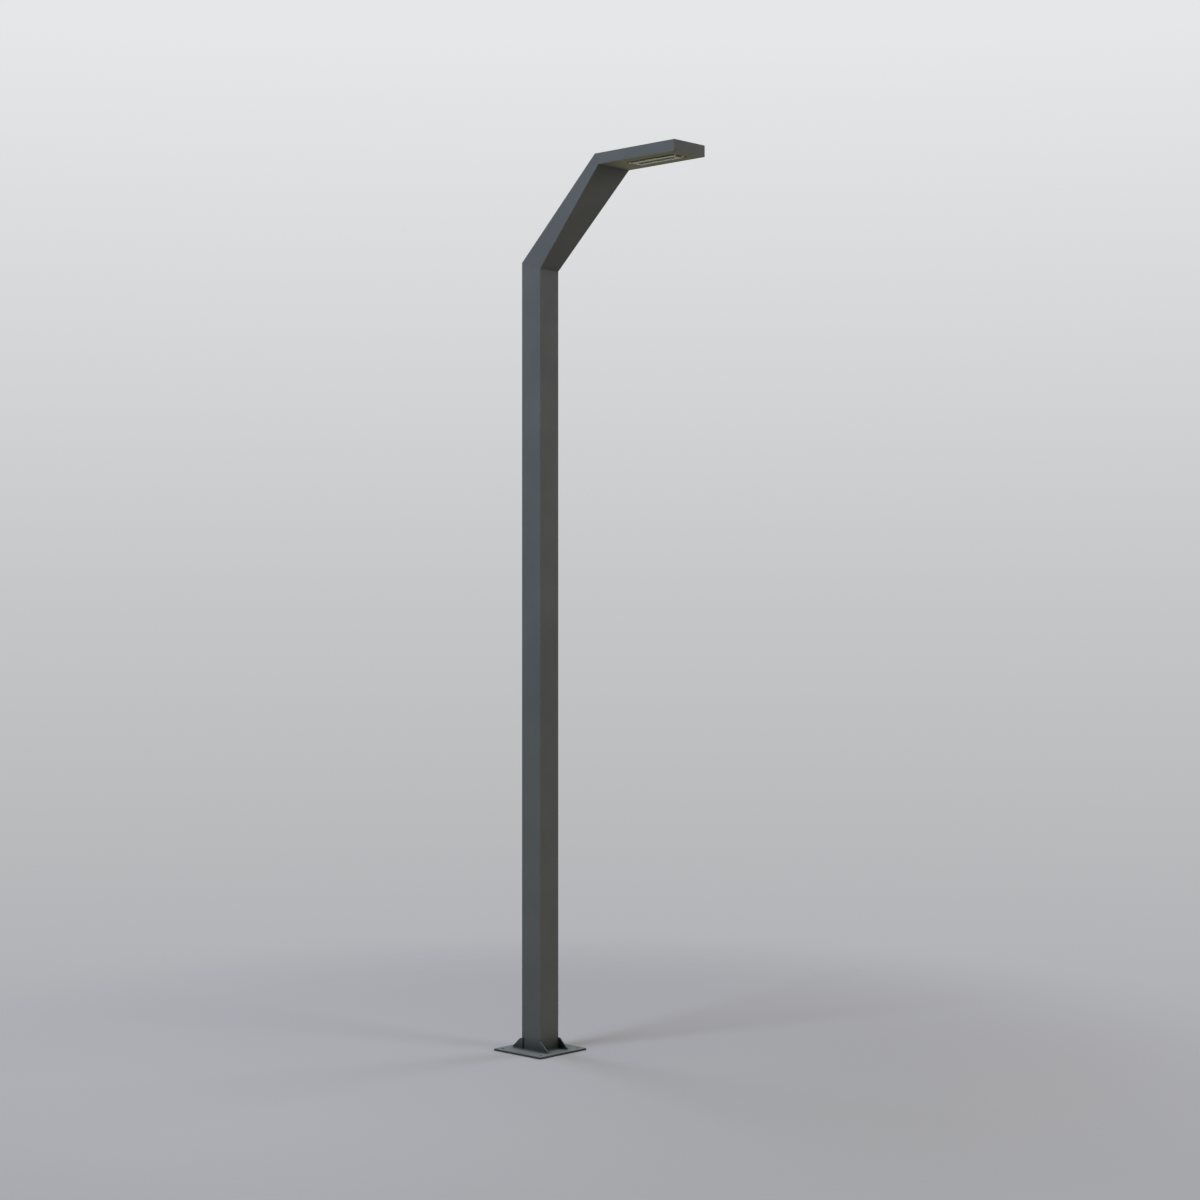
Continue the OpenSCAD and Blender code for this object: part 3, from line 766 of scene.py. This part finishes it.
cutter = block("cutter", window_low - pane_play, window_high + pane_play)
round_edges(cutter, module_corner, segments=5, wanted=runs(2))
cut_away(module_cover, cutter)
ease(module_cover, steel_edge)
# Matt black, which also serves as painted shade for the dark outline round the window frame.
black_and_shade = new_material("matt black coat and painted shade", (0.030, 0.031, 0.030), roughness=0.66)
black_surface = black_and_shade.node_tree.nodes["Principled BSDF"]
black_surface.inputs["Specular IOR Level"].default_value = 0.2
tint(
    black_and_shade, noise(black_and_shade, scale=30, detail=4),
    dark=(0.027, 0.028, 0.027), light=(0.036, 0.037, 0.035),
)
gloss(black_and_shade, noise(black_and_shade, scale=60, detail=3), smooth=0.60, rough=0.74)
relief(black_and_shade, noise(black_and_shade, scale=700), height=0.00008)
coat(module_cover, black_and_shade)
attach(module_cover, "root")
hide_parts("module_plate")

rubber = new_material("black rubber", (0.022, 0.022, 0.021), roughness=0.62)
tint(
    rubber, noise(rubber, scale=60, detail=4),
    dark=(0.018, 0.018, 0.018), light=(0.030, 0.030, 0.029),
)
gloss(rubber, noise(rubber, scale=300), smooth=0.55, rough=0.72)
relief(rubber, noise(rubber, scale=1500), height=0.00002)

seal_r = 0.0015
seal_corner = 0.0035
seal_rise = 0.0002
seal_route_half = (module_high - module_low) / 2 + Vector((seal_r, seal_r, 0))
bpy.ops.object.select_all(action="DESELECT")
bpy.ops.mesh.primitive_plane_add(
    size=2, location=(module_middle.x, 0, module_low.z + seal_r + seal_rise)
)
bezel_seal = bpy.context.object
bezel_seal.name = "bezel_seal"
bezel_seal.scale = (seal_route_half.x, seal_route_half.y, 1)
bpy.ops.object.transform_apply(location=True, rotation=True, scale=True)
edit(bezel_seal, "VERT")
bpy.ops.mesh.select_all(action="SELECT")
bpy.ops.mesh.bevel(offset=seal_corner, segments=8, affect="VERTICES")
bpy.ops.mesh.select_all(action="SELECT")
bpy.ops.mesh.delete(type="ONLY_FACE")
done()
bpy.ops.object.convert(target="CURVE")
bezel_seal.data.bevel_depth = seal_r
bezel_seal.data.bevel_resolution = 4
bpy.ops.object.convert(target="MESH")
bezel_seal = bpy.context.object
bpy.ops.object.shade_smooth()
coat(bezel_seal, rubber)
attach(bezel_seal, "root")
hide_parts("module_seal")

module_screw = button_screw(
    "module_screw", shank_d=0.004, head_d=0.008, head_h=0.0024, length=0.008
)
module_screw_set = screws_at("module_screw_set", module_screw, module_screw_spots, (0, 0, -1))
coat(module_screw_set, stainless)
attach(module_screw_set, "root")
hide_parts("module_screws")


# Window. A frame of anodised aluminium stands proud of the plate and clamps a pane of frosted
# glass, which hides the single LEDs and spreads their light.
frame_low, frame_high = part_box("lens_frame")
window_l = 0.169
window_w = 0.024
window_half = Vector((window_l / 2, window_w / 2, 0.02))
frame_middle = (frame_low + frame_high) / 2
frame_corner = 0.002
frame_edge = 0.001
frame_ease = 0.0002
window_corner = 0.001
anodised = new_material("anodised aluminium", (0.22, 0.225, 0.215), roughness=0.42, metallic=0.85)
tint(
    anodised, noise(anodised, scale=90, detail=3, stretch=(0.1, 1, 1)),
    dark=(0.205, 0.21, 0.20), light=(0.235, 0.24, 0.23),
)
gloss(anodised, noise(anodised, scale=700, stretch=(0.05, 1, 1)), smooth=0.36, rough=0.50)
relief(anodised, noise(anodised, scale=1200, stretch=(0.05, 1, 1)), height=0.00002)

window_frame = block("window_frame", frame_low, frame_high)
round_edges(window_frame, frame_corner, segments=5, wanted=runs(2))
cutter = block("cutter", frame_middle - window_half, frame_middle + window_half)
round_edges(cutter, window_corner, segments=4, wanted=runs(2))
cut_away(window_frame, cutter)
round_edges(
    window_frame, frame_edge, segments=3,
    wanted=lambda a, b: max(a.z, b.z) < frame_low.z + touching,
)
ease(window_frame, frame_ease, segments=2)
coat(window_frame, anodised)
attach(window_frame, "root")
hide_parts("lens_frame")

frosted = new_material("frosted glass", (0.18, 0.19, 0.165), roughness=0.42)
glass = frosted.node_tree.nodes["Principled BSDF"]
glass.inputs["Transmission Weight"].default_value = 0.4
glass.inputs["IOR"].default_value = 1.5
glass.inputs["Specular IOR Level"].default_value = 0.2
gloss(frosted, noise(frosted, scale=900), smooth=0.40, rough=0.50)
relief(frosted, noise(frosted, scale=2500, detail=1), height=0.00002)
pane_edge = 0.0005
window_pane = block("window_pane", window_low, window_high)
round_edges(window_pane, window_corner, segments=4, wanted=runs(2))
ease(window_pane, pane_edge)
coat(window_pane, frosted)
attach(window_pane, "root")
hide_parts("lens_pane")


# Fittings inside. They keep the shapes of their solids, and each gets the finish of the real
# thing: strips and a tray coated with the pole, an extruded heat sink, moulded electrical parts.
def finish_nodes(material, *names):
    """Gives a finish to solids that keep their own shape."""
    for name in names:
        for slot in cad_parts[name].material_slots:
            slot.material = material


finish_nodes(
    paint,
    "rail_inner", "rail_outer", "driver_tray", "door_lug_upper", "door_lug_lower", "fuse_rail",
)

zinc = new_material("zinc plate", (0.50, 0.51, 0.53), roughness=0.38, metallic=0.9)
tint(zinc, noise(zinc, scale=140, detail=3), dark=(0.44, 0.45, 0.47), light=(0.57, 0.58, 0.60))
gloss(zinc, noise(zinc, scale=60, detail=4), smooth=0.30, rough=0.50)
relief(zinc, noise(zinc, scale=900), height=0.00001)
finish_nodes(zinc, "earth_stud", "earth_nut", "earth_washer")
finish_nodes(stainless, "clamp_screws", "driver_screws", "fuse_box_screws", "rail_screws")
finish_nodes(rubber, "lead_grommet", "earth_bush")

extruded = new_material("extruded aluminium", (0.60, 0.60, 0.61), roughness=0.36, metallic=1.0)
tint(
    extruded, noise(extruded, scale=300, stretch=(0.02, 1, 1)),
    dark=(0.54, 0.54, 0.55), light=(0.66, 0.66, 0.67),
)
gloss(extruded, noise(extruded, scale=500, stretch=(0.02, 1, 1)), smooth=0.30, rough=0.45)
relief(extruded, noise(extruded, scale=1500, detail=1, stretch=(0.02, 1, 1)), height=0.00002)
finish_nodes(extruded, "heat_sink")

silicone = new_material("white silicone", (0.68, 0.68, 0.65), roughness=0.60)
tint(
    silicone, noise(silicone, scale=80, detail=3),
    dark=(0.64, 0.64, 0.61), light=(0.71, 0.71, 0.69),
)
gloss(silicone, noise(silicone, scale=300), smooth=0.52, rough=0.68)
relief(silicone, noise(silicone, scale=1200, detail=1), height=0.00002)
finish_nodes(silicone, "lens_gasket")

solder_mask = new_material("solder mask", (0.030, 0.032, 0.030), roughness=0.40)
tint(
    solder_mask, noise(solder_mask, scale=400, detail=3),
    dark=(0.026, 0.028, 0.026), light=(0.036, 0.038, 0.035),
)
gloss(solder_mask, noise(solder_mask, scale=200), smooth=0.34, rough=0.46)
relief(solder_mask, noise(solder_mask, scale=800, detail=1), height=0.00001)
finish_nodes(solder_mask, "led_board")

phosphor = new_material("phosphor", (0.75, 0.56, 0.10), roughness=0.45)
tint(phosphor, noise(phosphor, scale=900), dark=(0.68, 0.50, 0.09), light=(0.80, 0.62, 0.13))
gloss(phosphor, noise(phosphor, scale=1500, detail=1), smooth=0.38, rough=0.52)
relief(phosphor, noise(phosphor, scale=3000, detail=1), height=0.00001)
finish_nodes(phosphor, "led_packages")


def moulded(name, colour, shift, roughness):
    """A moulded plastic with a fine spark-eroded grain, or a thing with a skin like it."""
    material = new_material(name, colour, roughness=roughness)
    lighter = tuple(value + shift for value in colour)
    tint(material, noise(material, scale=50, detail=4), dark=colour, light=lighter)
    gloss(material, noise(material, scale=500), smooth=roughness - 0.06, rough=roughness + 0.08)
    relief(material, noise(material, scale=2200), height=0.00002)
    return material


finish_nodes(
    moulded("white plastic", (0.68, 0.68, 0.65), shift=0.04, roughness=0.42),
    "led_driver", "terminal_block",
)
finish_nodes(
    moulded("grey plastic", (0.28, 0.29, 0.30), shift=0.03, roughness=0.45),
    "fuse_box_base", "fuse_box_cover",
)
finish_nodes(
    moulded("black plastic", (0.025, 0.025, 0.026), shift=0.012, roughness=0.48),
    "fuse_carrier", "lamp_gland", "supply_gland", "gland_nuts",
)
finish_nodes(
    moulded("glazed ceramic", (0.78, 0.75, 0.68), shift=0.04, roughness=0.18), "fuse_link"
)
finish_nodes(moulded("grey sheath", (0.55, 0.55, 0.54), shift=0.04, roughness=0.50), "led_lead")
finish_nodes(
    moulded("black sheath", (0.020, 0.020, 0.020), shift=0.010, roughness=0.55), "lamp_cable"
)
finish_nodes(moulded("green sheath", (0.08, 0.30, 0.05), shift=0.03, roughness=0.50), "earth_lead")

tinned = new_material("tinned copper", (0.62, 0.58, 0.52), roughness=0.30, metallic=1.0)
tint(tinned, noise(tinned, scale=250, detail=3), dark=(0.58, 0.50, 0.40), light=(0.66, 0.63, 0.59))
gloss(tinned, noise(tinned, scale=500), smooth=0.24, rough=0.40)
relief(tinned, noise(tinned, scale=1500, detail=1), height=0.00001)
finish_nodes(tinned, "earth_lug")


# Studio. A pale grey floor that fades into a plain backdrop, with a gradient from grey at the
# bottom to near white at the top, which only the camera and reflections see. The floor is open
# under the base plate, so that the plate's underside isn't black.
def ray_choice(tree, seen, unseen):
    """A colour for what the camera and reflections see, and another that lights the object."""
    path = tree.nodes.new("ShaderNodeLightPath")
    either = tree.nodes.new("ShaderNodeMath")
    either.operation = "MAXIMUM"
    any_of = tree.nodes.new("ShaderNodeMath")
    any_of.operation = "MAXIMUM"
    choice = tree.nodes.new("ShaderNodeMix")
    choice.data_type = "RGBA"
    tree.links.new(path.outputs["Is Camera Ray"], either.inputs[0])
    tree.links.new(path.outputs["Is Glossy Ray"], either.inputs[1])
    tree.links.new(either.outputs["Value"], any_of.inputs[0])
    tree.links.new(path.outputs["Is Transmission Ray"], any_of.inputs[1])
    tree.links.new(any_of.outputs["Value"], choice.inputs["Factor"])
    choice.inputs["A"].default_value = (*unseen, 1)
    tree.links.new(seen, choice.inputs["B"])
    return choice.outputs["Result"]


backdrop_foot = (0.385, 0.39, 0.412)
backdrop_middle = (0.56, 0.565, 0.575)
backdrop_top = (0.79, 0.797, 0.81)
backdrop_span = 0.24
ambient = (0.14, 0.12, 0.085)
world = bpy.data.worlds.new("backdrop")
bpy.context.scene.world = world
world.use_nodes = True
tree = world.node_tree
direction = tree.nodes.new("ShaderNodeTexCoord")
axes = tree.nodes.new("ShaderNodeSeparateXYZ")
height = tree.nodes.new("ShaderNodeMapRange")
height.inputs["From Min"].default_value = -backdrop_span
height.inputs["From Max"].default_value = backdrop_span
gradient = tree.nodes.new("ShaderNodeValToRGB")
gradient.color_ramp.elements[0].color = (*backdrop_foot, 1)
gradient.color_ramp.elements[1].color = (*backdrop_top, 1)
gradient.color_ramp.elements.new(0.5).color = (*backdrop_middle, 1)
tree.links.new(direction.outputs["Generated"], axes.inputs["Vector"])
tree.links.new(axes.outputs["Z"], height.inputs["Value"])
tree.links.new(height.outputs["Result"], gradient.inputs["Fac"])
tree.links.new(
    ray_choice(tree, gradient.outputs["Color"], ambient), tree.nodes["Background"].inputs["Color"]
)

floor_r = 3.2
floor_solid = 1.2
floor_drop = 0.0005
floor_tone = (0.395, 0.383, 0.400)
floor_bounce = (0.38, 0.31, 0.24)
hatch = plate_high.x - 0.001
bpy.ops.object.select_all(action="DESELECT")
bpy.ops.mesh.primitive_plane_add(size=2 * floor_r, location=(0, 0, -floor_drop))
floor = bpy.context.object
floor.name = "studio_floor"
edit(floor, "FACE")
bpy.ops.mesh.select_all(action="SELECT")
bpy.ops.mesh.inset(thickness=floor_r - hatch)
bpy.ops.mesh.delete(type="FACE")
done()
studio_grey = bpy.data.materials.new("studio grey")
studio_grey.use_nodes = True
tree = studio_grey.node_tree
tree.nodes.remove(tree.nodes["Principled BSDF"])
seen = tree.nodes.new("ShaderNodeRGB")
seen.outputs["Color"].default_value = (*floor_tone, 1)
grey = tree.nodes.new("ShaderNodeBsdfDiffuse")
tree.links.new(ray_choice(tree, seen.outputs["Color"], floor_bounce), grey.inputs["Color"])
place = tree.nodes.new("ShaderNodeTexCoord")
reach = tree.nodes.new("ShaderNodeVectorMath")
reach.operation = "LENGTH"
fade = tree.nodes.new("ShaderNodeMapRange")
fade.interpolation_type = "SMOOTHSTEP"
fade.inputs["From Min"].default_value = floor_solid
fade.inputs["From Max"].default_value = floor_r
below = tree.nodes.new("ShaderNodeNewGeometry")
hidden = tree.nodes.new("ShaderNodeMath")
hidden.operation = "MAXIMUM"
clear = tree.nodes.new("ShaderNodeBsdfTransparent")
blend = tree.nodes.new("ShaderNodeMixShader")
tree.links.new(place.outputs["Object"], reach.inputs[0])
tree.links.new(reach.outputs["Value"], fade.inputs["Value"])
tree.links.new(fade.outputs["Result"], hidden.inputs[0])
tree.links.new(below.outputs["Backfacing"], hidden.inputs[1])
tree.links.new(hidden.outputs["Value"], blend.inputs["Fac"])
tree.links.new(grey.outputs["BSDF"], blend.inputs[1])
tree.links.new(clear.outputs["BSDF"], blend.inputs[2])
tree.links.new(blend.outputs["Shader"], tree.nodes["Material Output"].inputs["Surface"])
floor.data.materials.append(studio_grey)


def softbox(name, at, aim, width, height, power, colour, spread=180):
    """A soft rectangular lamp, turned to a point, with its light kept within a spread."""
    bpy.ops.object.light_add(type="AREA", location=at)
    lamp = bpy.context.object
    lamp.name = name
    lamp.rotation_euler = (Vector(aim) - Vector(at)).to_track_quat("-Z", "Y").to_euler()
    lamp.data.shape = "RECTANGLE"
    lamp.data.size = width
    lamp.data.size_y = height
    lamp.data.energy = power
    lamp.data.color = colour
    lamp.data.spread = math.radians(spread)


cool = (0.78, 0.90, 1.0)
warm = (1.0, 0.965, 0.85)
amber = (1.0, 0.96, 0.42)
overcast = (0.96, 1.0, 0.92)
clear_sky = (0.83, 0.87, 1.0)
blue_sky = (0.71, 0.78, 1.0)
softbox(
    "side_light", at=(-0.6, -6.5, 4.8), aim=(0.2, 0, 2.4),
    width=3.0, height=3.0, power=405, colour=cool,
)
softbox(
    "front_light", at=(10.0, 2.5, 4.0), aim=(0.2, 0, 1.2),
    width=3.5, height=3.5, power=402, colour=warm,
)
softbox(
    "top_light", at=(-0.5, -0.5, 7.5), aim=(0.2, 0, 0),
    width=3.0, height=3.0, power=150, colour=overcast,
)
softbox(
    "low_light", at=(-2.8, 1.4, 0.2), aim=(0.4, 0, 3.3),
    width=1.5, height=1.5, power=11.4, colour=amber, spread=60,
)
softbox(
    "rear_light", at=(-7.0, 0.8, 3.6), aim=(0, 0, 1.4),
    width=3.0, height=3.0, power=250, colour=blue_sky,
)
softbox(
    "left_light", at=(1.5, 7.0, 4.0), aim=(0, 0, 1.6),
    width=3.0, height=3.0, power=205, colour=clear_sky,
)

view_distance = 8.629
view_azimuth = 44.72
view_height = 1.716
focal_px = 2263.5
photo_px = 1200
pole_axis_px = 540.15
aside = math.degrees(math.atan((photo_px / 2 - pole_axis_px) / focal_px))
azimuth = math.radians(view_azimuth)
bpy.ops.object.camera_add(
    location=(
        view_distance * math.sin(azimuth), -view_distance * math.cos(azimuth), view_height
    ),
    rotation=(math.pi / 2, 0, math.radians(view_azimuth - aside)),
)
camera = bpy.context.object
camera.name = "camera"
camera.data.sensor_width = 36
camera.data.lens = camera.data.sensor_width * focal_px / photo_px
bpy.context.scene.camera = camera
bpy.context.scene.view_settings.view_transform = "Standard"
